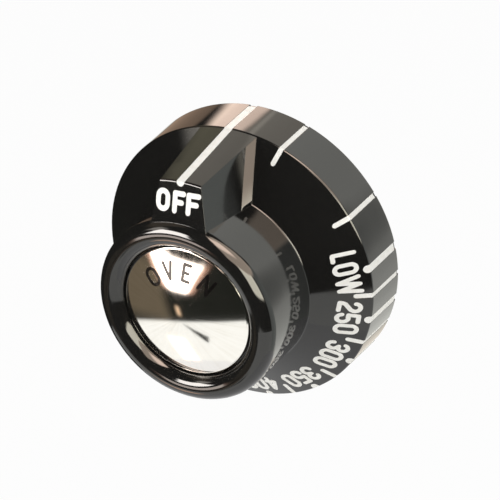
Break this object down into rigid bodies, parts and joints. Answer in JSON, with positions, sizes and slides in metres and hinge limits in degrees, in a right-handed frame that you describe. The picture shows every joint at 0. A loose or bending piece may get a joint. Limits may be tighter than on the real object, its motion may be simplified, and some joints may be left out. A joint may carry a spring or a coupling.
{
  "type": "oven thermostat dial",
  "caption": "Round moulded oven thermostat dial with a wide numbered skirt, a raised OFF pointer, a domed metal insert and a D-shaped shaft socket.",
  "frame": {"origin": "on the shaft's axis, at the mouth of the shaft socket", "axes": "+Y along the shaft, out of the socket's mouth, so the dial's front faces -Y; +Z towards the OFF pointer, X across the dial"},
  "size_m": [0.0634, 0.0353, 0.0634],
  "materials": {
    "black_moulding": "glossy black thermoset moulding",
    "polished_metal": "polished metal sheet",
    "spring_steel": "bright spring steel strip",
    "white_paint": "warm white paint filled into the engraved lines"
  },
  "bodies": {
    "root": {"dial_body": "black_moulding", "face_insert": "polished_metal", "shaft_spring": "spring_steel", "off_line_paint": "white_paint", "scale_line_paint": "white_paint"}
  },
  "joints": []
}
